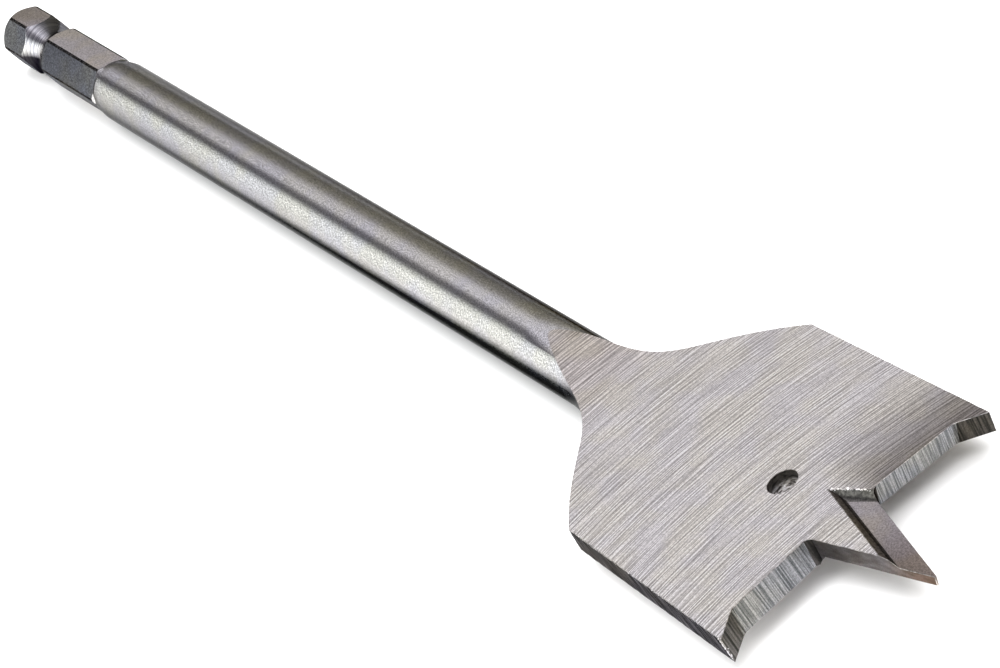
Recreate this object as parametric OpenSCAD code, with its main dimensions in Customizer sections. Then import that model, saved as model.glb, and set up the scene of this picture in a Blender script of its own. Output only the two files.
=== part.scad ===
// Spade drill bit: one piece of steel bar with a milled hexagonal shank, a round shaft and
// a forged flat blade. The blade has two cutting lips, a spur at each corner and a centre
// point with a hollow ground into each face.
// The bit is drawn along X, from the end of the shank at 0 to the tip, with its upper face
// towards +Z. What is ground at the front is cut twice, half a turn apart about X, for a bit
// that turns clockwise. The finished bit is then laid down on its shaft, with its blade level.

/* [Bar and shank] */
// Length of the whole bit, from the end of the shank to the tip
overall_len = 200; // [170:1:400]
// Diameter of the round bar, on the shaft and over the corners of the hexagon
bar_d = 7.14; // [6.8:0.02:7.3]
// Width of the hexagon across its flats
hex_af = 6.35; // [6.2:0.01:6.5]
// Length of the hexagon, from the end of the shank to the shaft
hex_len = 26.8; // [20:0.1:40]
// Turn of the hexagon's corners away from the blade's upright
hex_turn = 15.5; // [0:0.5:30]
// Diameter of the flat face at the end of the shank
end_d = 6.3; // [5:0.1:6.3]
// Length of the chamfer at the end of the shank
end_chamfer = 0.8; // [0.3:0.1:2]
// Distance from the end of the shank to the middle of the locking groove
groove_pos = 9; // [7:0.1:12]
// Diameter at the bottom of the locking groove
groove_root_d = 4.85; // [4.2:0.05:5.6]
// Radius of the groove's round section
groove_r = 5; // [3:0.1:8]
// Diameter at which the shaft starts behind the hexagon
lead_d = 6.6; // [6.4:0.05:6.8]
// Length of the cone between that start and the full shaft
lead_len = 2.2; // [0.5:0.1:5]

/* [Neck] */
// Radius of the hollow between the shaft and the shoulder
neck_r = 14; // [6:0.5:16]
// Angle between the shaft and the shoulder at the neck
neck_angle = 42.5; // [38:0.5:50]
// Angle between the shaft and the shoulder at the blade's rear corner
shoulder_angle = 31.5; // [26:0.5:36]
// Radius of the shoulder's outward curve
crown_r = 50; // [25:1:60]
// Length over which the bar is flattened down to the blade
ramp_len = 14; // [8:0.5:25]
// How far behind the neck's hollow the flattening starts
ramp_lead = 7; // [2:0.5:14]

/* [Blade] */
// Width over the two spurs, which is the size of the hole that the bit bores
blade_w = 32; // [28:0.5:50]
// Thickness of the blade
blade_t = 2.5; // [1.8:0.1:3.2]
// Length of the blade's side, from the rear corner to the tip of the spur
side_len = 29; // [20:0.5:40]
// How much narrower each side is at the rear corner than at the spur
back_taper = 0.75; // [0:0.05:1.5]
// Clearance angle ground on the sides
side_relief = 2.3; // [0:0.1:6]
// Diameter of the hole through the blade
hole_d = 3.1; // [2:0.1:5]
// Distance from the tip back to the middle of that hole
hole_setback = 24.4; // [22.5:0.1:30]

/* [Lips and spurs] */
// Angle by which a lip runs forward towards its spur
lip_slope = 3.75; // [0:0.25:8]
// Clearance angle ground behind the lips
lip_relief = 16.4; // [5:0.2:22]
// Width of a spur
spur_w = 2.75; // [1.5:0.05:4]
// Angle between a lip's line across the blade and the inside of its spur
spur_angle = 39.5; // [20:0.5:55]
// Radius between a lip and its spur
knee_r = 1.2; // [0.4:0.1:2.5]
// Radius between a lip and the centre point
root_r = 0.8; // [0.3:0.1:1.5]

/* [Centre point] */
// Length of the centre point beyond the lips
point_len = 14.7; // [10:0.1:18]
// Angle between the two sides of the centre point
point_angle = 26.2; // [20:0.2:34]
// Length ground off the sharp end of the centre point
tip_blunt = 0.4; // [0.05:0.05:0.6]
// Clearance angle on the sides of the centre point
flank_relief = 12; // [5:0.1:16]
// Depth of the hollow ground into each face along the point's cutting edge
hollow_depth = 0.8; // [0.3:0.02:1]
// Distance from the tip back to the corner of the hollow
hollow_setback = 19; // [17.5:0.1:21]
// Distance from the bit's axis to the corner of the hollow
hollow_offset = 1.6; // [1:0.1:2.4]
// Angle between the bit's axis and the hollow's rear wall
hollow_turn = 27; // [15:0.5:40]
// Lean of the hollow's walls away from the upright
hollow_lean = 45; // [20:1:55]

/* [Hidden] */
$fn = 96;
// Steps in an arc of an outline, and how far a cut runs past what it cuts
arc_steps = 12;
spare = 1;
// How far over the bar the flattening starts, so that it enters the bar at an angle
ramp_skim = 0.06;
// How far past the blade's rear corner the shoulder's curve is drawn, in degrees
crown_over = 4;
// How far the flats run on past the hexagon's corners, into the cone
flat_over = 0.2;
bar_r = bar_d / 2;
half_t = blade_t / 2;
half_w = blade_w / 2;
reach = 2 * blade_w;

// Centre point, lips and spurs, as lines on the face that holds their cutting edges
tip_x = overall_len;
lip_x = tip_x - point_len;
point_slope = tan(point_angle / 2);
flank_shift = half_t * tan(flank_relief);
apex_x = tip_x + tip_blunt + flank_shift / point_slope;
root_y = point_slope * (apex_x - lip_x);
root = [lip_x, root_y];
knee_y = half_w - spur_w;
knee = root + (knee_y - root_y) * [tan(lip_slope), 1];
spur_tip = knee + spur_w * [tan(spur_angle), 1];
// Sideways tilt of the grinding direction that adds up to the flanks' clearance
grind_tilt = atan((tan(flank_relief) - point_slope * tan(lip_relief)) * cos(lip_relief));

// Blade's rear corner, and the shoulder and neck that lead back from it to the bar
corner = [spur_tip.x - side_len, half_w - back_taper];
crown_c = corner + crown_r * [sin(shoulder_angle), -cos(shoulder_angle)];
crown_start = along(crown_c, crown_r, 90 + neck_angle);
neck_end_y = bar_r + neck_r * (1 - cos(neck_angle));
neck_end_x = crown_start.x - (crown_start.y - neck_end_y) / tan(neck_angle);
neck_x = neck_end_x - neck_r * sin(neck_angle);

// Flattening of the bar: two equal arcs, from just over the bar down to the blade's face
ramp_x = neck_x - ramp_lead;
ramp_top = bar_r + ramp_skim;
ramp_turn = 2 * atan((ramp_top - half_t) / ramp_len);
ramp_r = ramp_len / (2 * sin(ramp_turn));

function along(centre, r, angle) = centre + r * [cos(angle), sin(angle)];

function arc(centre, r, from, to) =
    [for (i = [0:arc_steps]) along(centre, r, from + (to - from) * i / arc_steps)];

function unit(v) = v / norm(v);

// Arc of radius r that rounds the corner b of the line a, b, c
function rounded(a, b, c, r) =
    let (
        back = unit(a - b),
        on = unit(c - b),
        half = acos(back * on) / 2,
        centre = b + unit(back + on) * r / sin(half),
        first = b + back * r / tan(half) - centre,
        last = b + on * r / tan(half) - centre,
        from = atan2(first.y, first.x),
        sweep = (atan2(last.y, last.x) - from + 540) % 360 - 180
    )
    arc(centre, r, from, from + sweep);

// A point of the upper face, as it is seen along the grinding direction
function as_ground(p) =
    let (u = (p.x - lip_x) * cos(lip_relief))
    [u, cos(grind_tilt) * (p.y - u * tan(grind_tilt) * tan(lip_relief))];

module both_sides() {
    for (turn = [0, 180])
        rotate([turn, 0, 0]) children();
}

// Bar turned to its outline: shank, shaft, neck, shoulder and a round of the blade's width
module turned_bar() {
    outline = concat(
        [[0, 0], [0, end_d / 2], [end_chamfer, bar_r], [hex_len, bar_r], [hex_len, lead_d / 2], [hex_len + lead_len, bar_r]],
        arc([neck_x, bar_r + neck_r], neck_r, -90, neck_angle - 90),
        arc(crown_c, crown_r, 90 + neck_angle, 90 + shoulder_angle - crown_over),
        [[corner.x + reach / 8, half_w + spare], [tip_x, half_w + spare], [tip_x, 0]]
    );
    rotate([0, 90, 0]) rotate_extrude()
        polygon([for (p = outline) [p.y, p.x]]);
}

// Side view of the bit, which flattens the bar into the blade
module flattened() {
    upper = concat(
        [[-spare, bar_r + spare], [ramp_x, bar_r + spare]],
        arc([ramp_x, ramp_top - ramp_r], ramp_r, 90, 90 - ramp_turn),
        arc([ramp_x + ramp_len, half_t + ramp_r], ramp_r, 270 - ramp_turn, 270),
        [[tip_x + spare, half_t]]
    );
    lower = [for (i = [len(upper) - 1:-1:0]) [upper[i].x, -upper[i].y]];
    rotate([90, 0, 0]) linear_extrude(reach, center = true)
        polygon(concat(upper, lower));
}

// What is milled away around the hexagon
module around_hexagon() {
    rotate([hex_turn, 0, 0]) rotate([0, 90, 0]) difference() {
        translate([0, 0, -spare]) cylinder(h = hex_len + flat_over + spare, r = bar_r + spare);
        translate([0, 0, -2 * spare]) cylinder(h = hex_len + 4 * spare, d = hex_af / cos(30), $fn = 6);
    }
}

// Locking groove of the quick-change shank
module locking_groove() {
    translate([groove_pos, 0, 0]) rotate([0, 90, 0]) rotate_extrude()
        translate([groove_root_d / 2 + groove_r, 0]) circle(groove_r);
}

// What is ground off one side, with its clearance below the cutting edge
module beside_blade() {
    taper = atan(back_taper / side_len);
    translate([corner.x, corner.y, half_t]) rotate([-side_relief, 0, taper])
        translate([-reach / 4, 0, -reach / 2]) cube([reach, reach / 4, reach]);
}

// What is ground away in front of one lip, between the centre point and the spur
module before_lip() {
    past_tip = [tip_x + reach / 8, point_slope * (apex_x - tip_x - reach / 8)];
    past_spur = spur_tip + spare * [tan(spur_angle), 1];
    outline = concat(
        [past_tip],
        rounded(past_tip, root, knee, root_r),
        rounded(root, knee, past_spur, knee_r),
        [past_spur, [past_tip.x, past_spur.y]]
    );
    translate([lip_x, 0, half_t]) rotate([-grind_tilt, lip_relief, 0])
        linear_extrude(reach / 2, center = true) polygon([for (p = outline) as_ground(p)]);
}

// Hollow in one face, along the cutting edge of the centre point
module point_hollow() {
    translate([tip_x - hollow_setback, hollow_offset, half_t]) intersection() {
        rotate([hollow_lean, 0, -point_angle / 2])
            translate([-reach / 2, 0, -reach / 2]) cube([reach, reach, reach]);
        rotate([-hollow_lean, 0, hollow_turn])
            translate([-reach / 2, -reach, -reach / 2]) cube([reach, reach, reach]);
        translate([-reach / 2, -reach / 2, -hollow_depth]) cube([reach, reach, hollow_depth + spare]);
    }
}

module wire_hole() {
    translate([tip_x - hole_setback, 0, 0]) cylinder(h = blade_t + 2 * spare, d = hole_d, center = true);
}

module spade_bit() {
    color("#b2afae")
    translate([-overall_len / 2, 0, bar_r])
    difference() {
        intersection() {
            turned_bar();
            flattened();
        }
        around_hexagon();
        locking_groove();
        wire_hole();
        both_sides() {
            beside_blade();
            before_lip();
            point_hollow();
        }
    }
}

spade_bit();
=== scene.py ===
"""Spade drill bit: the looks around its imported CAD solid.

The solid is copied, its round forms are refined, its edges are worn and its faces are dressed
in the finishes that forging, milling and grinding leave on a bare steel bit. Everything is in
metres in the part's own frame: the bit lies along X, with its tip towards +X and its blade level.
"""

import logging
import math
from dataclasses import dataclass, field
from enum import Enum

import bmesh
import bpy
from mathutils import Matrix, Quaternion, Vector, noise


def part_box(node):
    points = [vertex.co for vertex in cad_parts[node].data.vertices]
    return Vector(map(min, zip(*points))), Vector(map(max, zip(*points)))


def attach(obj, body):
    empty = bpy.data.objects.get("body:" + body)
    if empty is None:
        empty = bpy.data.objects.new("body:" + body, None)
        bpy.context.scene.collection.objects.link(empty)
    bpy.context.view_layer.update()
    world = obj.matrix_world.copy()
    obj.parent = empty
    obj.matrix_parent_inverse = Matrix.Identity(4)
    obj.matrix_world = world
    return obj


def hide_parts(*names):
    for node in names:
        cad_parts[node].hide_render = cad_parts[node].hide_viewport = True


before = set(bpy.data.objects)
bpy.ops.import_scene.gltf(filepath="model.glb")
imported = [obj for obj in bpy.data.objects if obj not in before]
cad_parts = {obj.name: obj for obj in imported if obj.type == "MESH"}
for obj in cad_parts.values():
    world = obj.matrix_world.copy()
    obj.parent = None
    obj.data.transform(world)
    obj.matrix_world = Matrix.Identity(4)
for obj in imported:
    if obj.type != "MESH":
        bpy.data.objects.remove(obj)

LOG = logging.getLogger("spade_bit")
MM = 0.001
CAD_NODE = "spade_bit"
BODY = "root"

# Short names for types
Tree = bpy.types.NodeTree
Socket = bpy.types.NodeSocket
Solid = bmesh.types.BMesh
Span = tuple[float, float]
Spot = tuple[float, float, float]

# Radius of the bar, which is also the height of the bit's axis above the floor
BAR_R_MM = 3.57
# Angle from which an edge counts as sharp
SHARP = math.radians(24)

# Bow of the grinding marks over the blade's width: they run ahead by this times the square of
# the distance from the line beside the axis where they lie straight across
BOW_PER_M = 6.5
BOW_ASIDE_MM = 3.3
# Slant of the grinding marks on the blade's sides
SIDE_SLANT = math.radians(35)
# Size of the grit on every finish. Real grit is several times finer and would not show in the
# render, so it is drawn as coarse as it needs to show
GRIT_MM = 0.14
# Noise values over which the grit and the wide patches change from one shade to the other
GRIT_SPAN = (0.3, 0.7)
PATCH_SPAN = (0.4, 0.6)
# Middle of the noise that draws the marks, how far their tones reach from it, and how much further
# they reach as the marks get crisper
MIDDLE = 0.5
MARK_REACH = 0.14
CRISP_REACH = 1.2
# Shade that leaves a tone as it is
CLEAN = "#ffffff"
# Sockets of a Mix node, by number because their names repeat for each type of value
FACTOR, NUMBER_A, NUMBER_B, COLOUR_A, COLOUR_B = 0, 2, 3, 6, 7
COLOUR_OUT = 2


def linear(code: str) -> tuple[float, float, float, float]:
    """Turns an sRGB hex colour into linear values.

    Args:
        code: Colour as six hex digits, with or without a leading mark.

    Returns:
        Red, green, blue and an alpha of one.
    """
    digits = code.lstrip("#")
    parts = [int(digits[i:i + 2], 16) / 255 for i in (0, 2, 4)]
    red, green, blue = [v / 12.92 if v <= 0.04045 else ((v + 0.055) / 1.055) ** 2.4 for v in parts]
    return red, green, blue, 1.0


def add_node(tree: Tree, kind: str, sockets: dict[str | int, object] | None = None,
             stops: list[tuple[float, str]] | None = None, **settings: object) -> bpy.types.Node:
    """Adds a node with its settings, values and links.

    Args:
        tree: Node tree that gets the node.
        kind: Blender's name of the node type.
        sockets: Inputs by name or index, each a value or the output to link from.
        stops: Places on the node's colour ramp in rising order, each with its sRGB hex colour.
        settings: Properties of the node itself.

    Returns:
        The new node.
    """
    made = tree.nodes.new(kind)
    for name, value in settings.items():
        setattr(made, name, value)
    for key, value in (sockets or {}).items():
        if isinstance(value, bpy.types.NodeSocket):
            tree.links.new(value, made.inputs[key])
        else:
            made.inputs[key].default_value = value
    if stops:
        elements = made.color_ramp.elements
        for element, (spot, code) in zip(elements, (stops[0], stops[-1])):
            element.position, element.color = spot, linear(code)
        for spot, code in stops[1:-1]:
            elements.new(spot).color = linear(code)
    return made


def keep_inside(mesh: bpy.types.Mesh) -> None:
    """Moves what stands outside the solid's box back to it.

    Args:
        mesh: Mesh in the part's frame, changed in place.
    """
    low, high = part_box(CAD_NODE)
    for vert in mesh.vertices:
        vert.co = [min(max(value, least), most) for value, least, most in zip(vert.co, low, high)]


def settle(piece: bpy.types.Object) -> bpy.types.Mesh:
    """Makes what a piece's modifiers give its plain mesh.

    Args:
        piece: The piece, changed in place.

    Returns:
        Its new mesh.
    """
    view = bpy.context.evaluated_depsgraph_get()
    made = bpy.data.meshes.new_from_object(piece.evaluated_get(view), depsgraph=view)
    old = piece.data
    piece.modifiers.clear()
    piece.data = made
    bpy.data.meshes.remove(old)
    return made


class Lay(Enum):
    """Direction in which the marks of a finish run."""

    ACROSS = "across the blade"
    ALONG = "along the bit"
    THROUGH = "through the blade's thickness"
    SLANTED = "at a slant over a side"
    RINGED = "round the hole"
    TURNED = "round the bar"
    ROUND = "no direction"


@dataclass(frozen=True)
class SteelFinish:
    """One finish of bare steel: its tones, and the marks that its making left.

    Attributes:
        name: Material name, for the metal and how its surface was made.
        body: Plain tone, as an sRGB hex colour.
        dark: Tone in the deepest marks.
        light: Tone of the brightest marks.
        grain_mm: Width of a mark.
        roughness: Mean roughness.
        lay: Direction of the marks.
        run_mm: Length of a mark that has a direction.
        spread: Change of roughness over the marks.
        depth_mm: Depth of the marks.
        speckle: Strength of the fine grit.
        edge: How much the surface mirrors at a glancing angle.
        warm: Shade of wide warm patches, laid over the tones.
        cool: Shade of wide cool patches, laid over the tones.
        patch_mm: Size of those patches.
        metallic: How far the surface mirrors as bare metal does.
        crisp: How far wide bands are taken out of the marks.
    """

    name: str
    body: str
    dark: str
    light: str
    grain_mm: float
    roughness: float
    lay: Lay = Lay.ROUND
    run_mm: float = 1.0
    spread: float = 0.05
    depth_mm: float = 0.004
    speckle: float = 0.15
    edge: float = 0.5
    warm: str = "#fffbf6"
    cool: str = "#f9f8ff"
    patch_mm: float = 5.0
    metallic: float = 1.0
    crisp: float = 0.0

    def scale(self) -> Spot:
        """Works out the scale of the marks from their size.

        Returns:
            The pattern's scale on X, Y and Z, per metre.
        """
        fine, long = 1 / (self.grain_mm * MM), 1 / (self.run_mm * MM)
        return {
            Lay.ACROSS: (fine, long, long),
            Lay.ALONG: (long, fine, fine),
            Lay.THROUGH: (long, fine, long),
            Lay.SLANTED: (fine, long, long),
            Lay.RINGED: (long, long, fine),
            Lay.TURNED: (fine, long, long),
            Lay.ROUND: (fine, fine, fine),
        }[self.lay]

    def aside(self) -> Spot:
        """Gives the step of one mark's width across the marks, in the pattern's own units."""
        scale = self.scale()
        return tuple(float(value == max(scale)) for value in scale)

    def lined_place(self, tree: Tree, place: Socket) -> Socket:
        """Turns or bends the coordinates so that the marks run in their direction.

        Args:
            tree: Node tree of the material.
            place: Object coordinates.

        Returns:
            The coordinates to draw the marks in.
        """
        if self.lay is Lay.SLANTED:
            return add_node(tree, "ShaderNodeVectorRotate", {"Vector": place, "Angle": SIDE_SLANT},
                            rotation_type="Y_AXIS").outputs[0]
        if self.lay is not Lay.ACROSS:
            return place
        # A grinding wheel's path bows a little over the width of the blade
        axes = add_node(tree, "ShaderNodeSeparateXYZ", {0: place}).outputs
        off = add_node(tree, "ShaderNodeMath", {0: axes["Y"], 1: BOW_ASIDE_MM * MM},
                       operation="ADD").outputs[0]
        square = add_node(tree, "ShaderNodeMath", {0: off, 1: off}, operation="MULTIPLY").outputs[0]
        bowed = add_node(tree, "ShaderNodeMath", {0: square, 1: -BOW_PER_M, 2: axes["X"]},
                         operation="MULTIPLY_ADD").outputs[0]
        return add_node(tree, "ShaderNodeCombineXYZ",
                        {0: bowed, 1: axes["Y"], 2: axes["Z"]}).outputs[0]

    def shades(self, tree: Tree, place: Socket) -> list[Socket]:
        """Gives the shades that lie over the tones: none on plain steel."""
        return []

    def build(self) -> bpy.types.Material:
        """Builds the material.

        Returns:
            The material, with its colour, roughness and relief from its nodes.
        """
        material = bpy.data.materials.new(self.name)
        material.use_nodes = True
        tree = material.node_tree
        tree.nodes.clear()
        place = add_node(tree, "ShaderNodeTexCoord").outputs["Object"]
        lined = add_node(tree, "ShaderNodeMapping", {
            "Vector": self.lined_place(tree, place), "Scale": self.scale()}).outputs[0]
        # Taking away the same pattern one mark further leaves thin lines without wide bands
        step = add_node(tree, "ShaderNodeVectorMath", {0: lined, 1: self.aside()},
                        operation="ADD").outputs[0]
        fine, beside = (
            add_node(tree, "ShaderNodeTexNoise", {
                "Vector": spot, "Scale": 1.0, "Detail": 1.0, "Roughness": 0.6}).outputs["Fac"]
            for spot in (lined, step))
        marks = add_node(tree, "ShaderNodeMix", {
            FACTOR: -self.crisp, NUMBER_A: fine, NUMBER_B: beside}, clamp_factor=False).outputs[0]
        reach = MARK_REACH * (1 + CRISP_REACH * self.crisp)
        low, high = MIDDLE - reach, MIDDLE + reach
        colour = add_node(tree, "ShaderNodeValToRGB", {"Fac": marks}, stops=[
            (low, self.dark), (MIDDLE, self.body), (high, self.light)]).outputs["Color"]
        grit = add_node(tree, "ShaderNodeTexNoise", {
            "Vector": place, "Scale": 1 / (GRIT_MM * MM), "Detail": 1.0}).outputs["Fac"]
        sand = add_node(tree, "ShaderNodeMapRange", {
            "Value": grit, "From Min": GRIT_SPAN[0], "From Max": GRIT_SPAN[1],
            "To Min": 1 - 2 * self.speckle, "To Max": 1 + 2 * self.speckle}).outputs[0]
        cloud = add_node(tree, "ShaderNodeTexNoise", {
            "Vector": place, "Scale": 1 / (self.patch_mm * MM), "Detail": 2.0}).outputs["Fac"]
        hue = add_node(tree, "ShaderNodeValToRGB", {"Fac": cloud}, stops=[
            (PATCH_SPAN[0], self.warm), (PATCH_SPAN[1], self.cool)]).outputs["Color"]
        for shade in (sand, hue, *self.shades(tree, place)):
            colour = add_node(tree, "ShaderNodeMix", {
                FACTOR: 1.0, COLOUR_A: colour, COLOUR_B: shade}, data_type="RGBA",
                blend_type="MULTIPLY").outputs[COLOUR_OUT]
        rough = add_node(tree, "ShaderNodeMapRange", {
            "Value": marks, "From Min": low, "From Max": high,
            "To Min": self.roughness + self.spread, "To Max": self.roughness - self.spread})
        relief = add_node(tree, "ShaderNodeBump", {
            "Height": marks, "Distance": self.depth_mm * MM, "Strength": 1.0})
        shader = add_node(tree, "ShaderNodeBsdfPrincipled", {
            "Base Color": colour, "Metallic": self.metallic, "Roughness": rough.outputs[0],
            "Normal": relief.outputs[0],
            "Specular Tint": (self.edge, self.edge, self.edge, 1.0)})
        add_node(tree, "ShaderNodeOutputMaterial", {"Surface": shader.outputs[0]})
        return material


@dataclass(frozen=True)
class BarFinish(SteelFinish):
    """The bar's own finish, with painted shade on its far side and underside, wider by the blade.

    Attributes:
        painted_far_shade: Painted shade on the far side, laid over the tones.
        under: Painted shade on the underside.
        far: Degrees from the upright where the far side's painted shade is full and where it ends.
        near: Degrees from the upright where the underside's painted shade starts and is full.
        widen: Factor on the angle round the bar at the bit's middle, which widens the painted
            shade.
        widen_per_m: Growth of that factor along the bit.
    """

    painted_far_shade: str = "#928f88"
    under: str = "#7c7e7e"
    far: Span = (-52.0, -30.0)
    near: Span = (70.0, 90.0)
    widen: float = 1.1
    widen_per_m: float = 3.6

    def shades(self, tree: Tree, place: Socket) -> list[Socket]:
        """Draws the painted shade on the bar's far side and underside.

        Args:
            tree: Node tree of the material.
            place: Object coordinates.

        Returns:
            The one shade that lies over the tones.
        """
        axes = add_node(tree, "ShaderNodeSeparateXYZ", {0: place}).outputs
        up = add_node(tree, "ShaderNodeMath", {0: axes["Z"], 1: BAR_R_MM * MM},
                      operation="SUBTRACT").outputs[0]
        left = add_node(tree, "ShaderNodeMath", {0: axes["Y"], 1: -1.0},
                        operation="MULTIPLY").outputs[0]
        turn = add_node(tree, "ShaderNodeMath", {0: left, 1: up}, operation="ARCTAN2").outputs[0]
        factor = add_node(tree, "ShaderNodeMath", {
            0: axes["X"], 1: self.widen_per_m, 2: self.widen}, operation="MULTIPLY_ADD").outputs[0]
        wider = add_node(tree, "ShaderNodeMath", {0: turn, 1: factor}, operation="MULTIPLY")
        share = add_node(tree, "ShaderNodeMapRange", {
            "Value": wider.outputs[0], "From Min": -math.pi, "From Max": math.pi}).outputs[0]
        # Painted shade: darker on the bar's far side and underside
        sides = zip((*self.far, *self.near), (self.painted_far_shade, CLEAN, CLEAN, self.under))
        shade = add_node(tree, "ShaderNodeValToRGB", {"Fac": share}, stops=[
            ((angle + 180) / 360, code) for angle, code in sides])
        return [shade.outputs["Color"]]


@dataclass(frozen=True)
class StainAndShade:
    """A stretch of a face that is darker or warmer than the rest: a stain, and on the hole's wall
    painted shade.

    Attributes:
        shade: Shade laid over the tones, as an sRGB hex colour.
        ahead_mm: Where it starts and where it is full, along the bit in the part's frame.
        aside_mm: Where it starts and where it is full, across the bit.
        up_mm: Where it starts and where it is full, above the floor.
    """

    shade: str
    ahead_mm: Span
    aside_mm: Span = (-40.0, -39.0)
    up_mm: Span = (-2.0, -1.0)


@dataclass(frozen=True)
class StainedAndShadedFinish(SteelFinish):
    """A ground face with stains from handling and from the heat of grinding, and painted shade in
    the hole.

    Attributes:
        stains_and_shade: The stains and the painted shade, laid one over another.
    """

    stains_and_shade: tuple[StainAndShade, ...] = ()

    def shades(self, tree: Tree, place: Socket) -> list[Socket]:
        """Draws each stain and painted shade over its stretch of the face.

        Args:
            tree: Node tree of the material.
            place: Object coordinates.

        Returns:
            The shades that lie over the tones, one for each stain and painted shade.
        """
        shades = []
        axes = add_node(tree, "ShaderNodeSeparateXYZ", {0: place}).outputs
        for stain_and_shade in self.stains_and_shade:
            share = 1.0
            for axis, span in zip("XYZ", (stain_and_shade.ahead_mm, stain_and_shade.aside_mm, stain_and_shade.up_mm)):
                within = add_node(tree, "ShaderNodeMapRange", {
                    "Value": axes[axis], "From Min": span[0] * MM, "From Max": span[1] * MM},
                    interpolation_type="SMOOTHSTEP").outputs[0]
                share = add_node(tree, "ShaderNodeMath", {0: share, 1: within},
                                 operation="MULTIPLY").outputs[0]
            shade = add_node(tree, "ShaderNodeValToRGB", {"Fac": share}, stops=[
                (0.0, CLEAN), (1.0, stain_and_shade.shade)])
            shades.append(shade.outputs["Color"])
        return shades


class Region(Enum):
    """A part of the bit's surface that has one finish."""

    BLADE = "blade"
    SHAFT = "shaft"
    NECK = "neck"
    SIDE = "side"
    LIP = "lip"
    KNEE = "knee between lip and spur"
    SPUR = "spur"
    FLANK = "flank"
    FLOOR = "hollow floor"
    BACK_WALL = "hollow back wall"
    SIDE_WALL = "hollow side wall"
    LEDGE = "upper step of that wall"
    HOLE = "hole"
    FLAT = "upper flat"
    SHADED_FLAT = "dark flat"
    LAND = "corner of the hexagon"
    GROOVE = "groove"
    END = "end of the shank"
    ROOT = "root of the point"
    EDGE = "worn edge"
    BURR = "burr"


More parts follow.
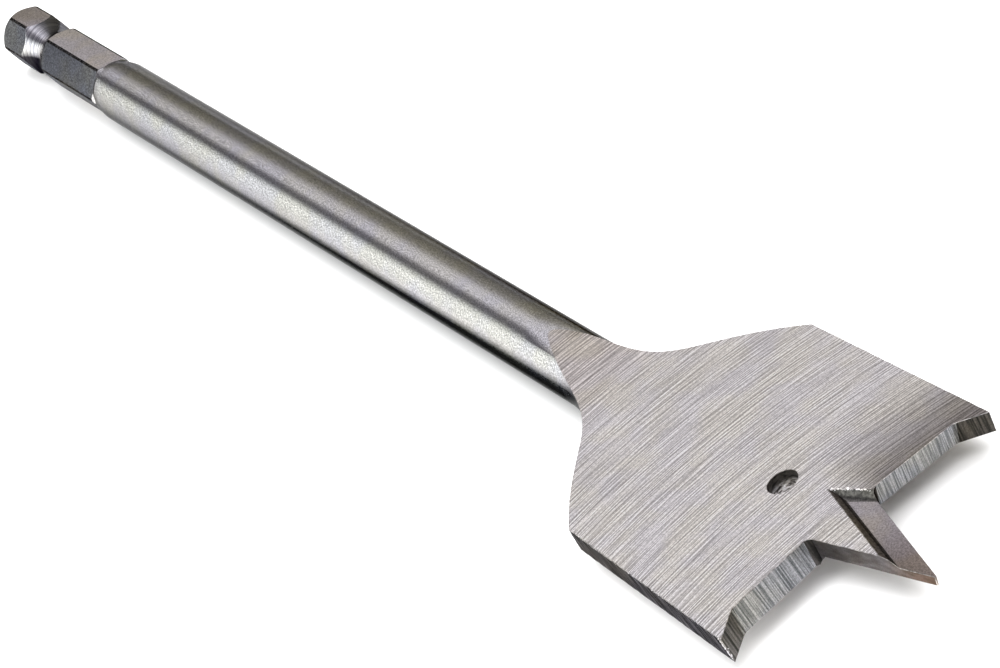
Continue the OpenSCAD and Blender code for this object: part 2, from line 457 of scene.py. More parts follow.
# Real grinding and turning marks are a few hundredths of a millimetre wide and would not show in
# the render, so the grain of each finish is drawn as coarse as it needs to show
FINISHES: dict[Region, SteelFinish] = {
    # Belt-ground face: crisp streaks across the blade over soft grey, darker by the far lip
    Region.BLADE: StainedAndShadedFinish(
        "steel_ground_across", body="#d7d5d3", dark="#aeaba9", light="#fdfbf9", lay=Lay.ACROSS,
        grain_mm=0.16, run_mm=6.5, roughness=0.4, spread=0.04, depth_mm=0.001, speckle=0.11,
        warm="#fffdfa", cool="#fbfaff", crisp=1.5, stains_and_shade=(
            StainAndShade("#9b9793", ahead_mm=(74.0, 88.0), aside_mm=(0.5, 6.0)),
            StainAndShade("#e4e0db", ahead_mm=(50.0, 40.0)))),
    # Satin bar: even grey grain that blurs the long lights
    # Its far side and underside carry painted shade from the bar finish
    Region.SHAFT: BarFinish(
        "steel_satin_bar", body="#c4c4c3", dark="#b0b0af", light="#d8d8d7",
        grain_mm=0.14, roughness=0.21, spread=0.03, depth_mm=0.002, speckle=0.07, edge=0.15,
        warm="#fffdfa", cool="#faf9ff", crisp=0.6),
    # Forged neck: the bar's satin, a little rougher
    # It carries the same painted shade on its far side and underside
    Region.NECK: BarFinish(
        "steel_forged_neck", body="#bebdbb", dark="#adacaa", light="#cfcecc",
        grain_mm=0.14, roughness=0.26, spread=0.03, depth_mm=0.002, speckle=0.07, edge=0.2,
        warm="#fffdfa", cool="#faf9ff", crisp=0.6),
    # Sides of the blade: slanted grinding marks over a dark grey that is painted shade
    Region.SIDE: SteelFinish(
        "steel_ground_side", body="#5d5c5c", dark="#393838", light="#8d8b8c", lay=Lay.SLANTED,
        grain_mm=0.18, run_mm=3.0, roughness=0.4, depth_mm=0.005, speckle=0.13, edge=0.2),
    # Lips: blue-grey, with streaks through the blade's thickness
    Region.LIP: SteelFinish(
        "steel_ground_lip", body="#7f8181", dark="#616464", light="#9e9f9f", lay=Lay.THROUGH,
        grain_mm=0.14, run_mm=6.0, roughness=0.36, spread=0.06, depth_mm=0.006, speckle=0.12),
    # Knees between lips and spurs: a grey between the tones of the two
    Region.KNEE: SteelFinish(
        "steel_ground_knee", body="#676866", dark="#4c4c4a", light="#868783", lay=Lay.THROUGH,
        grain_mm=0.18, run_mm=6.0, roughness=0.37, spread=0.06, depth_mm=0.008, speckle=0.12,
        edge=0.4),
    # Spurs: dark olive from the heat of grinding, darker on the far one
    Region.SPUR: StainedAndShadedFinish(
        "steel_ground_spur", body="#52514d", dark="#393935", light="#6f6c66", lay=Lay.THROUGH,
        grain_mm=0.22, run_mm=6.0, roughness=0.38, spread=0.06, depth_mm=0.01, speckle=0.12,
        edge=0.3, stains_and_shade=(StainAndShade("#b4b2af", ahead_mm=(80.0, 81.0), aside_mm=(10.0, 12.0)),)),
    # Flanks of the point: dark and smooth, coppery towards the tip
    Region.FLANK: StainedAndShadedFinish(
        "steel_ground_flank", body="#6b6865", dark="#605c59", light="#777372", lay=Lay.ALONG,
        grain_mm=0.6, run_mm=3.0, roughness=0.36, spread=0.04, speckle=0.08, edge=0.25,
        stains_and_shade=(StainAndShade("#ecd6c8", ahead_mm=(93.0, 99.0)),)),
    # Floor of the hollow: smooth lilac grey, browner towards the tip
    Region.FLOOR: StainedAndShadedFinish(
        "steel_hollow_floor", body="#a5a1a0", dark="#979392", light="#b1adac",
        grain_mm=0.2, roughness=0.36, spread=0.03, depth_mm=0.001, speckle=0.08, crisp=1.0,
        stains_and_shade=(StainAndShade("#d2cac4", ahead_mm=(86.0, 97.0)),)),
    # Rear wall of the hollow: dark grey
    Region.BACK_WALL: SteelFinish(
        "steel_hollow_back", body="#64635f", dark="#555451", light="#72716d",
        grain_mm=0.3, roughness=0.4, speckle=0.1),
    # Side wall of the hollow: nearly black below
    Region.SIDE_WALL: SteelFinish(
        "steel_hollow_side", body="#484542", dark="#3b3836", light="#55524f",
        grain_mm=0.3, roughness=0.4, speckle=0.1, edge=0.3),
    # The same wall's upper step: lighter and brown
    Region.LEDGE: SteelFinish(
        "steel_hollow_ledge", body="#7d7671", dark="#6c6661", light="#8e8781",
        grain_mm=0.3, roughness=0.4, speckle=0.1, edge=0.4),
    # Wall of the hole: ringed by the drill, with painted shade above and painted light below,
    # which makes it matt and bright instead of mirroring
    Region.HOLE: StainedAndShadedFinish(
        "steel_drilled_wall", body="#dedad5", dark="#4a4845", light="#ffffff", lay=Lay.RINGED,
        grain_mm=0.3, run_mm=0.7, roughness=0.4, spread=0.08, depth_mm=0.03, metallic=0.0,
        # The dark stretch above is painted shade
        stains_and_shade=(StainAndShade("#3d3b39", ahead_mm=(60.0, 61.0), up_mm=(3.1, 4.0)),)),
    # Upper flats of the shank: sandy warm grey with painted light that makes them lighter than the
    # other flats, darker towards the end
    Region.FLAT: StainedAndShadedFinish(
        "steel_milled_flat", body="#d1cdcc", dark="#bcb8b7", light="#e3dfde",
        grain_mm=0.2, roughness=0.5, speckle=0.09,
        stains_and_shade=(StainAndShade("#cfcdcb", ahead_mm=(-86.0, -93.0)),)),
    # Other flats of the shank: dark grey in painted shade, the same milled steel, with pale grit
    Region.SHADED_FLAT: SteelFinish(
        "steel_milled_flat_painted_shade", body="#6c6d70", dark="#5c5e61", light="#808387",
        grain_mm=0.2, roughness=0.5, speckle=0.1, edge=0.3),
    # Corners of the hexagon: black scale left from the bar
    Region.LAND: SteelFinish(
        "steel_mill_scale", body="#3a3938", dark="#212120", light="#5d5c5a",
        grain_mm=0.3, roughness=0.5, spread=0.06, depth_mm=0.005, edge=0.2),
    # Groove: turned bright, with the tool's fine lines round it
    # Its far side and underside carry dark painted shade, by the same bar finish
    Region.GROOVE: BarFinish(
        "steel_turned_groove", body="#e0e0e2", dark="#b4b4b8", light="#ffffff", lay=Lay.TURNED,
        grain_mm=0.16, run_mm=4.0, roughness=0.16, spread=0.03, depth_mm=0.002, speckle=0.05,
        edge=0.4, painted_far_shade="#7d7d7e", under="#343336", far=(-8.5, 13.5), near=(43.0, 58.0), crisp=0.8),
    # End of the shank: plain grey with straight saw lines
    Region.END: SteelFinish(
        "steel_sawn_end", body="#5f5d5b", dark="#4d4c4a", light="#716f6d", lay=Lay.THROUGH,
        grain_mm=0.12, run_mm=5.0, roughness=0.45, speckle=0.06, edge=0.3, crisp=1.0),
    # Roots of the point: black, as painted shade in the notch
    Region.ROOT: SteelFinish(
        "steel_ground_root", body="#373532", dark="#252422", light="#4a4744", lay=Lay.THROUGH,
        grain_mm=0.3, run_mm=6.0, roughness=0.42, depth_mm=0.006, speckle=0.1, edge=0.2),
    # Worn edges: thin light lines
    Region.EDGE: SteelFinish(
        "steel_worn_edge", body="#aaa7a4", dark="#83807d", light="#d4d1cd",
        grain_mm=0.6, roughness=0.34),
    # Burrs: torn steel, still bright, and half matt because it is torn
    Region.BURR: SteelFinish(
        "steel_bright_burr", body="#efedea", dark="#c6c4c1", light="#ffffff",
        grain_mm=0.2, roughness=0.28, speckle=0.1, metallic=0.4),
}

# Distances within which points of the solid are merged: more widely on the neck, where its curves
# cross in slivers, up to some way behind the blade's rear corner
MERGE_MM = 0.002
NECK_MERGE_MM = 0.05
NECK_SHORT_MM = 8
# Angle up to which faces count as lying in one plane, and how near a cut takes in a point
PLANE_ANGLE = math.radians(0.1)
CUT_MM = 0.001
# Distances within which points count as level, radii as equal, and a point as on the hole's wall,
# and the least radius of a circle on the bar
LEVEL_MM = 0.005
EQUAL_MM = 0.006
ON_HOLE_MM = 0.01
LEAST_R_MM = 1
# Angles at the axis between which a chord is split, and the cuts in it and in the groove's facets
CHORD_ANGLES = (math.radians(2), math.radians(27))
CHORD_CUTS = 2
GROOVE_CUTS = 3
# How far the groove's facets and its finish reach from its middle
GROOVE_REACH_MM = 3.3
GROOVE_END_MM = 3.5
# Dents in the edges: changes of their noise per millimetre, how far it is shifted inwards, and how
# near the hole's wall an edge is dented at its ends too
DENT_PER_MM = 1.1
DENT_SHIFT = 0.2
DENT_HOLE_MM = 0.05
# The centre point's edges stay sharp: from how far behind the lips, and how far aside
POINT_BACK_MM = 4
POINT_ASIDE_MM = 5
# Share of its normal along an axis from which a face counts as facing that way, as leaning that
# way or as quite flat, and up to which it runs straight along the bit
FACING = 0.9
LEANING = 0.5
FLAT_BLADE = 0.9999
STRAIGHT = 0.02
# The shank's end with its chamfer, and where the hexagon's flats run out into the cone
END_MM, END_FACING = 1.0, -0.2
HEX_SHORT_MM = 0.3
# How far a face may lie off a flat or a corner of the hexagon, and slope there
FLAT_SLACK_MM = 0.03
LAND_SLACK_MM, LAND_SLOPE = 0.09, 0.05
# Slope from which the shaft's top belongs to the flattened neck
RAMP_SLOPE = 0.015
# How far off the hole's wall a face may lie, and lean there
HOLE_SLACK_MM, HOLE_LEAN = 0.1, 0.3
# Depth from which a level face is a hollow's floor
HOLLOW_MM = 0.3
# How far inside the blade's half width a side lies, and how far aside root, lip and knee start
SIDE_IN_MM = 2
ROOT_ASIDE_MM, LIP_ASIDE_MM, KNEE_ASIDE_MM = 3.0, 6, 11
# Share of the normal along the bit from which a face is a root, a knee, or a lip beside each
ROOT_AHEAD, KNEE_AHEAD, LIP_BY_ROOT, LIP_BY_KNEE = 0.3, 0.82, 0.93, 0.94


@dataclass
class BitBody:
    """The whole bit in one piece, copied from its solid and finished. Sizes are in millimetres.

    Attributes:
        length: Length of the bit.
        bar_r: Radius of the shaft, and height of the axis above the floor.
        hex_len: Length of the hexagon.
        flat_r: Distance from the axis to a flat of the hexagon.
        round_end: Where the plain shaft ends, from the end of the shank.
        neck_x: Where the neck's hollow starts.
        corner_x: Where the blade's rear corner lies.
        lip_x: Where the lips meet the centre point.
        half_t: Half the blade's thickness.
        half_w: Half the blade's width.
        hole_x: Where the hole lies.
        hole_r: Radius of the hole.
        groove_x: Where the groove's middle lies.
        groove_root: Radius at the bottom of the groove.
        groove_r: Radius of the groove's section.
        ledge_z: Height above the axis where the hollow's side wall breaks.
        ledge_out: How far that break stands out.
        worn: Width of the worn edges.
        ragged: Depth of the dents in the blade's edges.
        ragged_step: Distance between those dents.
        wear_from: Distance from the start of the neck to where the wear of the edges sets in.
        wear_over: Length over which it grows to its full depth.
        order: Regions in the order of the piece's material slots.
    """

    length: float = 200.0
    bar_r: float = BAR_R_MM
    hex_len: float = 26.8
    flat_r: float = 3.175
    round_end: float = 131.0
    neck_x: float = 139.6
    corner_x: float = 159.2
    lip_x: float = 184.0
    half_t: float = 1.25
    half_w: float = 16.0
    hole_x: float = 175.6
    hole_r: float = 1.55
    groove_x: float = 9.0
    groove_root: float = 2.425
    groove_r: float = 5.0
    ledge_z: float = 0.9
    ledge_out: float = 0.12
    worn: float = 0.045
    ragged: float = 0.05
    ragged_step: float = 0.4
    wear_from: float = 6.0
    wear_over: float = 6.0
    order: list[Region] = field(default_factory=lambda: list(Region))

    def drawn(self, point: Vector) -> Vector:
        """Gives a point of the part's frame in millimetres along, across and above the axis."""
        return Vector((point.x / MM + self.length / 2, point.y / MM, point.z / MM - self.bar_r))

    def placed(self, x: float, y: float, z: float) -> Vector:
        """Gives the place in the part's frame of a point along, across and above the axis."""
        return Vector(((x - self.length / 2) * MM, y * MM, (z + self.bar_r) * MM))

    def copy_solid(self) -> Solid:
        """Copies the CAD mesh, merges its loose triangles and joins those that lie in one plane.

        Returns:
            The copy.
        """
        mesh = bmesh.new()
        mesh.from_mesh(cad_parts[CAD_NODE].data)
        bmesh.ops.remove_doubles(mesh, verts=mesh.verts, dist=MERGE_MM * MM)
        neck = [v for v in mesh.verts
                if self.neck_x < self.drawn(v.co).x < self.corner_x - NECK_SHORT_MM]
        bmesh.ops.remove_doubles(mesh, verts=neck, dist=NECK_MERGE_MM * MM)
        bmesh.ops.dissolve_limit(mesh, angle_limit=PLANE_ANGLE, verts=mesh.verts, edges=mesh.edges,
                                 use_dissolve_boundaries=False)
        return mesh

    def refine_rounds(self, mesh: Solid) -> None:
        """Splits the chords of the bar's and the hole's circles, and moves the new points out.

        Args:
            mesh: Copy of the solid, changed in place.
        """
        bmesh.ops.bisect_plane(mesh, geom=[*mesh.verts, *mesh.edges, *mesh.faces],
                               plane_co=self.placed(self.round_end, 0, 0), plane_no=(1, 0, 0),
                               dist=CUT_MM * MM)
        chords = []
        for edge in mesh.edges:
            a, b = (self.drawn(v.co) for v in edge.verts)
            off_hole = abs(math.hypot(a.x - self.hole_x, a.y) - self.hole_r)
            if a.x < self.round_end + LEVEL_MM and abs(a.x - b.x) < LEVEL_MM:
                near, far = Vector((a.y, a.z)), Vector((b.y, b.z))
            elif off_hole < ON_HOLE_MM and abs(a.z - b.z) < LEVEL_MM:
                near, far = Vector((a.x - self.hole_x, a.y)), Vector((b.x - self.hole_x, b.y))
            else:
                continue
            least, most = sorted((near.length, far.length))
            same = most - least < EQUAL_MM and least > LEAST_R_MM
            flat = any(self.region(f) in (Region.FLAT, Region.SHADED_FLAT) for f in edge.link_faces)
            if same and not flat and CHORD_ANGLES[0] < near.angle(far) < CHORD_ANGLES[1]:
                chords.append(edge)
        split = bmesh.ops.subdivide_edges(mesh, edges=chords, cuts=CHORD_CUTS, use_grid_fill=True)
        target = {}
        for vert in [v for v in split["geom_inner"] if isinstance(v, bmesh.types.BMVert)]:
            place = self.drawn(vert.co)
            if place.x < self.neck_x:
                beside = [self.drawn(e.other_vert(vert).co) for e in vert.link_edges]
                ring = [math.hypot(p.y, p.z) for p in beside if abs(p.x - place.x) < LEVEL_MM]
                grow = max(ring) / math.hypot(place.y, place.z) if ring else 1
                target[vert] = self.placed(place.x, place.y * grow, place.z * grow)
            else:
                out = place.x - self.hole_x
                grow = self.hole_r / math.hypot(out, place.y)
                target[vert] = self.placed(self.hole_x + out * grow, place.y * grow, place.z)
        for vert, place in target.items():
            vert.co = place

    def in_groove(self, face: bmesh.types.BMFace) -> bool:
        """Tells whether a face near the groove belongs to it."""
        return abs(face.normal.x) > STRAIGHT or self.region(face) is Region.GROOVE

    def refine_groove(self, mesh: Solid) -> None:
        """Splits the groove's facets and moves the new points onto its round section.

        Args:
            mesh: Copy of the solid, changed in place.
        """
        facets = [f for f in mesh.faces if self.in_groove(f) and abs(
            self.drawn(f.calc_center_median()).x - self.groove_x) < GROOVE_REACH_MM]
        split = bmesh.ops.subdivide_edges(mesh, edges=list({e for f in facets for e in f.edges}),
                                          cuts=GROOVE_CUTS, use_grid_fill=True)
        mesh.normal_update()
        for vert in [v for v in split["geom_inner"] if isinstance(v, bmesh.types.BMVert)]:
            if all(self.in_groove(f) for f in vert.link_faces):
                place = self.drawn(vert.co)
                reach = math.hypot(place.y, place.z)
                away = Vector((place.x - self.groove_x, reach - self.groove_root - self.groove_r))
                away.normalize()
                wanted = self.groove_root + self.groove_r * (1 + away.y)
                vert.co = self.placed(self.groove_x + self.groove_r * away.x,
                                      place.y * wanted / reach, place.z * wanted / reach)

    def drop_lone_points(self, mesh: Solid) -> None:
        """Takes out the bar's points that only two edges meet, which would leave double slivers.

        Args:
            mesh: Copy of the solid, changed in place.
        """
        lone = [v for v in mesh.verts
                if len(v.link_edges) == 2 and self.drawn(v.co).x < self.round_end]
        bmesh.ops.dissolve_verts(mesh, verts=lone)

    def step_hollows(self, mesh: Solid) -> None:
        """Breaks the side wall of each hollow into two steps, as two passes of the wheel leave it.

        Args:
            mesh: Copy of the solid, changed in place.
        """
        mesh.normal_update()
        for side in (1, -1):
            walls = [f for f in mesh.faces
                     if self.region(f) is Region.SIDE_WALL and side * f.normal.z > 0]
            into = Vector((walls[0].normal.x, walls[0].normal.y, 0)).normalized()
            parts = {p for f in walls for p in [f, *f.edges, *f.verts]}
            cut = bmesh.ops.bisect_plane(mesh, geom=list(parts), plane_no=(0, 0, 1),
                                         plane_co=self.placed(0, 0, side * self.ledge_z),
                                         dist=CUT_MM * MM)
            for vert in [v for v in cut["geom_cut"] if isinstance(v, bmesh.types.BMVert)]:
                vert.co += into * self.ledge_out * MM
        mesh.normal_update()

    def wear_at(self, vert: bmesh.types.BMVert) -> float:
        """Tells how far the wear of the edges has set in, from 0 at the neck to 1 on the blade."""
        past = self.drawn(vert.co).x - self.neck_x - self.wear_from
        return min(max(past / self.wear_over, 0.0), 1.0)

    def roughen_edges(self, mesh: Solid) -> None:
        """Splits the blade's long sharp edges and pushes them in unevenly, as wear leaves them.

        Args:
            mesh: Copy of the solid, changed in place.
        """
        queue = [e for e in mesh.edges if e.is_convex and e.calc_face_angle() > SHARP
                 and all(self.wear_at(v) > 0 for v in e.verts)
                 and any(self.drawn(v.co).x < self.lip_x - POINT_BACK_MM
                         or abs(v.co.y) > POINT_ASIDE_MM * MM for v in e.verts)]
        added = set()
        for vert in [v for e in queue for v in e.verts]:
            place = self.drawn(vert.co)
            if math.hypot(place.x - self.hole_x, place.y) < self.hole_r + DENT_HOLE_MM:
                added.add(vert)
        while queue:
            edge = queue.pop()
            if edge.calc_length() > self.ragged_step * MM:
                other, vert = bmesh.utils.edge_split(edge, edge.verts[0], 0.5)
                added.add(vert)
                queue += [edge, other]
        mesh.normal_update()
        outward = {v: sum((f.normal for f in v.link_faces), Vector()).normalized() for v in added}
        for vert, out in outward.items():
            out.z = 0
            dent = max(0.0, noise.noise(self.drawn(vert.co) * DENT_PER_MM) + DENT_SHIFT)
            vert.co -= out * (dent * self.wear_at(vert)) * self.ragged * MM

    def region(self, face: bmesh.types.BMFace) -> Region:
        """Tells which part of the bit a face belongs to.

        Args:
            face: Face of the copied solid.

        Returns:
            Its region.
        """
        place, normal = self.drawn(face.calc_center_median()), face.normal
        level = abs(normal.z) > FACING
        if place.x < END_MM and normal.x < END_FACING:
            return Region.END
        if place.x < self.hex_len - HEX_SHORT_MM:
            return self.shank_region(place, normal)
        if place.x < self.neck_x and not (level and normal.x > RAMP_SLOPE):
            return Region.SHAFT
        off_hole = math.hypot(place.x - self.hole_x, place.y) - self.hole_r
        if off_hole < HOLE_SLACK_MM and abs(normal.z) < HOLE_LEAN:
            return Region.HOLE
        if level:
            return Region.FLOOR if abs(place.z) < self.half_t - HOLLOW_MM else Region.BLADE
        if place.x < self.corner_x:
            return Region.NECK
        if abs(normal.z) > LEANING:
            if normal.y * normal.z < 0:
                return Region.BACK_WALL
            return Region.LEDGE if abs(place.z) > self.ledge_z else Region.SIDE_WALL
        return self.ground_region(abs(place.y), normal)

    def shank_region(self, place: Vector, normal: Vector) -> Region:
        """Tells which part of the shank a face belongs to.

        Args:
            place: Middle of the face, along, across and above the axis.
            normal: Its normal.

        Returns:
            Its region.
        """
        off_flat = abs(normal.y * place.y + normal.z * place.z - self.flat_r)
        if abs(normal.x) < STRAIGHT and off_flat < FLAT_SLACK_MM:
            # The flats that face up get painted light, and the others painted shade
            return Region.FLAT if abs(normal.z) > FACING else Region.SHADED_FLAT
        off_corner = abs(math.hypot(place.y, place.z) - self.bar_r)
        if abs(normal.x) < LAND_SLOPE and off_corner < LAND_SLACK_MM:
            return Region.LAND
        return Region.GROOVE if place.x < self.groove_x + GROOVE_END_MM else Region.SHADED_FLAT

    def ground_region(self, aside: float, normal: Vector) -> Region:
        """Tells which of the ground faces at the blade's sides and front a face is.

        Args:
            aside: Distance of its middle from the axis.
            normal: Its normal.

        Returns:
            Its region.
        """
        if aside > self.half_w - SIDE_IN_MM and abs(normal.y) > FACING:
            return Region.SIDE
        past_root = aside > ROOT_ASIDE_MM
        # A lip's inner end is told from the round root beside it by facing almost straight ahead
        if past_root and normal.x > (LEANING if aside > LIP_ASIDE_MM else LIP_BY_ROOT):
            if aside < KNEE_ASIDE_MM or normal.x > LIP_BY_KNEE:
                return Region.LIP
            return Region.KNEE if normal.x > KNEE_AHEAD else Region.SPUR
        # The roots take the black painted shade
        return Region.ROOT if normal.x > ROOT_AHEAD and past_root else Region.FLANK

    def wear_edges(self, piece: bpy.types.Object) -> None:
        """Rounds the sharp edges over a narrow worn strip.

        Args:
            piece: The bit, changed in place.
        """
        wear = piece.modifiers.new("worn edges", "BEVEL")
        wear.limit_method = "WEIGHT"
        wear.width = self.worn * MM
        wear.segments = 2
        wear.use_clamp_overlap = False
        wear.material = self.order.index(Region.EDGE)
        wear.harden_normals = True
        made = settle(piece)
        # The blade's flat faces are shaded flat right up to their worn edges
        normals = [corner.vector.copy() for corner in made.corner_normals]
        for face in made.polygons:
            flat = abs(face.normal.z) > FLAT_BLADE
            if flat and self.order[face.material_index] is Region.BLADE:
                for corner in face.loop_indices:
                    normals[corner] = face.normal.copy()
        made.normals_split_custom_set(normals)
        keep_inside(made)

    def build(self, finishes: dict[Region, bpy.types.Material]) -> bpy.types.Object:
        """Makes the dressed bit.

        Args:
            finishes: Material of each region.

        Returns:
            The piece that stands for the CAD node.
        """
        solid = self.copy_solid()
        self.refine_rounds(solid)
        self.refine_groove(solid)
        self.drop_lone_points(solid)
        self.step_hollows(solid)
        self.roughen_edges(solid)
        solid.normal_update()
        for face in solid.faces:
            face.material_index = self.order.index(self.region(face))
            face.smooth = True
        worn = solid.edges.layers.float.new("bevel_weight_edge")
        for edge in solid.edges:
            sharp = edge.is_convex and edge.calc_face_angle(0) > SHARP
            edge[worn] = min(self.wear_at(v) for v in edge.verts) if sharp else 0.0
        mesh = bpy.data.meshes.new("bit_body")
        solid.to_mesh(mesh)
        solid.free()
        mesh.set_sharp_from_angle(angle=SHARP)
        for region in self.order:
            mesh.materials.append(finishes[region])
        piece = bpy.data.objects.new("bit_body", mesh)
        bpy.context.scene.collection.objects.link(piece)
        self.wear_edges(piece)
        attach(piece, BODY)
        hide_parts(CAD_NODE)
        return piece


# Edges that grinding left torn: the end of the near spur and the rear wall of the upper hollow
TORN_EDGES = (
    ((187.2, -15.86, 1.2), (187.55, -15.88, 0.4), (187.95, -15.92, -0.8)),
    ((181.2, 1.72, 1.2), (183.2, 2.75, 1.2), (185.1, 3.65, 1.16)),
)
# Long edges with a few bright flecks: the near side, and the far rear corner
WORN_SIDES = (
    ((159.6, -15.15, 1.2), (187.2, -15.85, 1.2)),
    ((159.2, 15.0, 1.2), (166.0, 15.25, 1.2)),
)


@dataclass
class BurrGrains:
    """Bright crumbs of steel along the edges that grinding left torn. Sizes are in millimetres.

    Attributes:
        name: Name of the piece.
        body: The bit that they sit on.
        paths: Torn edges, each as points along, across and above the bit's axis.
        spacing: Distance between crumbs along an edge.
        grain: Radius of the largest crumb.
        stray: How far crumbs stray along the bit, across it and upwards.
        least: Smallest size of a crumb on its three axes, as shares of that radius.
        most: Largest size of a crumb on them.
        full_turn: Largest turn of a crumb about each axis, in radians.
        seed: Start of the random sizes and turns.
    """

    name: str
    body: BitBody
    paths: tuple[tuple[Spot, ...], ...]
    spacing: float = 0.1
    grain: float = 0.18
    stray: Spot = (0.08, 0.08, 0.08)
    least: Spot = (0.25, 0.25, 0.2)
    most: Spot = (1.0, 1.0, 0.6)
    full_turn: Spot = (6.28, 6.28, 6.28)
    seed: int = 7

    def tree(self) -> bpy.types.GeometryNodeTree:
        """Builds the node tree that strews crumbs along a mesh's edges.

        Returns:
            The tree, with its inputs named.
        """
        tree = bpy.data.node_groups.new("burr_grains", "GeometryNodeTree")
        face = tree.interface
        for name, kind in (("Geometry", "Geometry"), ("Spacing", "Float"), ("Grain", "Float"),
                           ("Stray", "Vector"), ("Seed", "Int"), ("Steel", "Material")):
            face.new_socket(name, in_out="INPUT", socket_type=f"NodeSocket{kind}")
        face.new_socket("Geometry", in_out="OUTPUT", socket_type="NodeSocketGeometry")
        given = add_node(tree, "NodeGroupInput").outputs
        line = add_node(tree, "GeometryNodeMeshToCurve", {"Mesh": given["Geometry"]}).outputs[0]
        dots = add_node(tree, "GeometryNodeResampleCurve", {
            "Curve": line, "Length": given["Spacing"]}, mode="LENGTH").outputs[0]
        drift, size, turn = (
            add_node(tree, "FunctionNodeRandomValue", {
                "Min": least, "Max": most, "Seed": given["Seed"]},
                data_type="FLOAT_VECTOR").outputs["Value"]
            for least, most in (((-1.0, -1.0, -1.0), (1.0, 1.0, 1.0)), (self.least, self.most),
                                ((0.0, 0.0, 0.0), self.full_turn)))
        shift = add_node(tree, "ShaderNodeVectorMath", {0: drift, 1: given["Stray"]},
                         operation="MULTIPLY").outputs[0]
        strewn = add_node(tree, "GeometryNodeSetPosition", {
            "Geometry": dots, "Offset": shift}).outputs[0]
        crumb = add_node(tree, "GeometryNodeMeshIcoSphere", {
            "Radius": given["Grain"], "Subdivisions": 1}).outputs["Mesh"]
        crumbs = add_node(tree, "GeometryNodeInstanceOnPoints", {
            "Points": strewn, "Instance": crumb, "Rotation": turn, "Scale": size}).outputs[0]
        real = add_node(tree, "GeometryNodeRealizeInstances", {"Geometry": crumbs}).outputs[0]
        dressed = add_node(tree, "GeometryNodeSetMaterial", {
            "Geometry": real, "Material": given["Steel"]}).outputs[0]
        add_node(tree, "NodeGroupOutput", {"Geometry": dressed})
        return tree

    def build(self, steel: bpy.types.Material) -> bpy.types.Object:
        """Strews the crumbs and makes them one piece.

        Args:
            steel: Material of the crumbs.

        Returns:
            The piece, which rides with the bit.
        """
        points, lines = [], []
        for path in self.paths:
            lines += [(len(points) + i, len(points) + i + 1) for i in range(len(path) - 1)]
            points += [self.body.placed(*spot) for spot in path]
        mesh = bpy.data.meshes.new("burr_lines")
        mesh.from_pydata(points, lines, [])
        piece = bpy.data.objects.new(self.name, mesh)
        bpy.context.scene.collection.objects.link(piece)
        tree = self.tree()
        strew = piece.modifiers.new("burr grains", "NODES")
        strew.node_group = tree
        wanted = {"Spacing": self.spacing * MM, "Grain": self.grain * MM,
                  "Stray": [far * MM for far in self.stray], "Seed": self.seed, "Steel": steel}
        for item in tree.interface.items_tree:
            if item.in_out == "INPUT" and item.name in wanted:
                strew[item.identifier] = wanted[item.name]
        keep_inside(settle(piece))
        bpy.data.node_groups.remove(tree)
        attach(piece, BODY)
        return piece


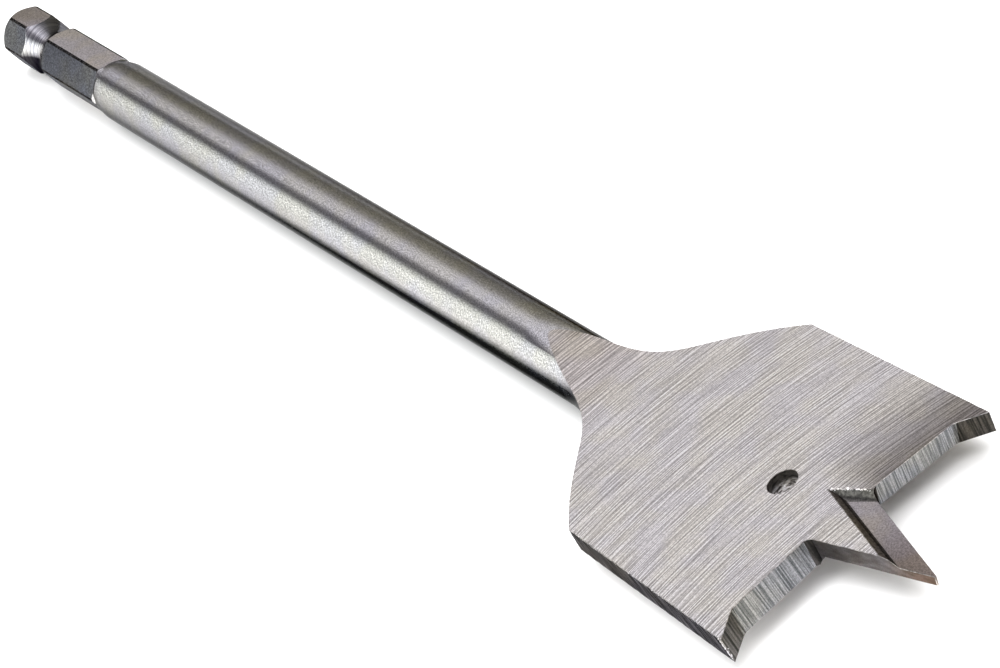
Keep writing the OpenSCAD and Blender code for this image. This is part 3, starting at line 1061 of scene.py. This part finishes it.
@dataclass
class Studio:
    """Floor, light and camera. Lengths are in metres.

    Attributes:
        floor_side: Side of the floor.
        floor_tone: Tone of the floor.
        floor_rough: Roughness of the floor.
        strips: Tones of the light around the bit, by the degrees from the upright.
        glow: Strength of that light.
        lamp_place: Where the lamp hangs, facing the origin.
        lamp_side: Side of the lamp.
        lamp_watts: Power of the lamp.
        sensor_mm: Width of the camera's sensor.
        lens_mm: Focal length.
        clip: Nearest and furthest distance that the camera sees.
        stand: Place of the camera.
        turn: Turn of the camera as a quaternion.
    """

    floor_side: float = 6.0
    floor_tone: str = "#f4f4f4"
    floor_rough: float = 0.9
    strips: tuple[tuple[float, str], ...] = (
        (-90, "#726f66"), (-62, "#7f7c72"), (-45, "#89867e"), (-33, "#aeacab"), (-24, "#c5c3c5"),
        (2, "#c5c3c7"), (9, "#a09ea1"), (17, "#605e62"), (33, "#525155"), (40, "#a4a6a5"),
        (48, "#d7dad7"), (60, "#fbfdfb"))
    glow: float = 1.8
    lamp_place: Spot = (0.1, 0.1, 1.6)
    lamp_side: float = 2.4
    lamp_watts: float = 64.0
    sensor_mm: float = 36.0
    lens_mm: float = 171.81
    clip: Span = (0.01, 50.0)
    stand: Spot = (0.418058, -0.100877, 0.247206)
    turn: tuple[float, float, float, float] = (0.808448, 0.288376, 0.400285, 0.320972)

    def lay_floor(self) -> None:
        """Lays a plain pale floor under the bit."""
        half = self.floor_side / 2
        corners = [(-half, -half, 0), (half, -half, 0), (half, half, 0), (-half, half, 0)]
        mesh = bpy.data.meshes.new("floor")
        mesh.from_pydata(corners, [], [(0, 1, 2, 3)])
        plain = bpy.data.materials.new("pale_floor")
        plain.use_nodes = True
        tree = plain.node_tree
        tree.nodes.clear()
        shader = add_node(tree, "ShaderNodeBsdfPrincipled", {
            "Base Color": linear(self.floor_tone), "Roughness": self.floor_rough})
        add_node(tree, "ShaderNodeOutputMaterial", {"Surface": shader.outputs[0]})
        mesh.materials.append(plain)
        floor = bpy.data.objects.new("floor", mesh)
        bpy.context.scene.collection.objects.link(floor)

    def light(self) -> None:
        """Surrounds the bit with long soft strips of light that run along its length."""
        world = bpy.data.worlds.new("studio")
        bpy.context.scene.world = world
        world.use_nodes = True
        tree = world.node_tree
        tree.nodes.clear()
        way = add_node(tree, "ShaderNodeTexCoord").outputs["Generated"]
        axes = add_node(tree, "ShaderNodeSeparateXYZ", {0: way}).outputs
        left = add_node(tree, "ShaderNodeMath", {0: axes["Y"], 1: -1.0},
                        operation="MULTIPLY").outputs[0]
        round_x = add_node(tree, "ShaderNodeMath", {0: left, 1: axes["Z"]},
                           operation="ARCTAN2").outputs[0]
        share = add_node(tree, "ShaderNodeMapRange", {
            "Value": round_x, "From Min": -math.pi / 2, "From Max": math.pi / 2}).outputs[0]
        tones = add_node(tree, "ShaderNodeValToRGB", {"Fac": share}, stops=[
            ((angle + 90) / 180, code) for angle, code in self.strips]).outputs["Color"]
        shine = add_node(tree, "ShaderNodeBackground", {"Color": tones, "Strength": self.glow})
        add_node(tree, "ShaderNodeOutputWorld", {"Surface": shine.outputs[0]})

    def hang_lamp(self) -> None:
        """Hangs one square soft lamp over the bit."""
        lamp = bpy.data.lights.new("overhead", "AREA")
        lamp.size, lamp.energy = self.lamp_side, self.lamp_watts
        hung = bpy.data.objects.new("overhead", lamp)
        hung.location = self.lamp_place
        # It whitens the floor and stays out of the steel's reflections
        hung.visible_glossy = False
        hung.rotation_euler = (-Vector(self.lamp_place)).to_track_quat("-Z", "Y").to_euler()
        bpy.context.scene.collection.objects.link(hung)

    def set_camera(self) -> None:
        """Puts the camera where the photograph was taken from."""
        data = bpy.data.cameras.new("camera")
        data.sensor_width, data.lens = self.sensor_mm, self.lens_mm
        data.clip_start, data.clip_end = self.clip
        camera = bpy.data.objects.new("camera", data)
        camera.rotation_mode = "QUATERNION"
        camera.location, camera.rotation_quaternion = self.stand, Quaternion(self.turn)
        bpy.context.scene.collection.objects.link(camera)
        bpy.context.scene.camera = camera
        bpy.context.scene.view_settings.view_transform = "Standard"


def main() -> None:
    """Builds the bit, then the studio around it."""
    logging.basicConfig(level=logging.INFO, format="%(name)s: %(message)s")
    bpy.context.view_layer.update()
    finishes = {region: finish.build() for region, finish in FINISHES.items()}
    body = BitBody()
    burrs = (BurrGrains("burr_grains", body, TORN_EDGES),
             BurrGrains("edge_flecks", body, WORN_SIDES, spacing=0.3, grain=0.08,
                        stray=(0.25, 0.04, 0.04)))
    for piece in (body.build(finishes), *(burr.build(finishes[Region.BURR]) for burr in burrs)):
        LOG.info("%s: %d faces", piece.name, len(piece.data.polygons))
    studio = Studio()
    studio.lay_floor()
    studio.light()
    studio.hang_lamp()
    studio.set_camera()


if __name__ == "__main__":
    main()
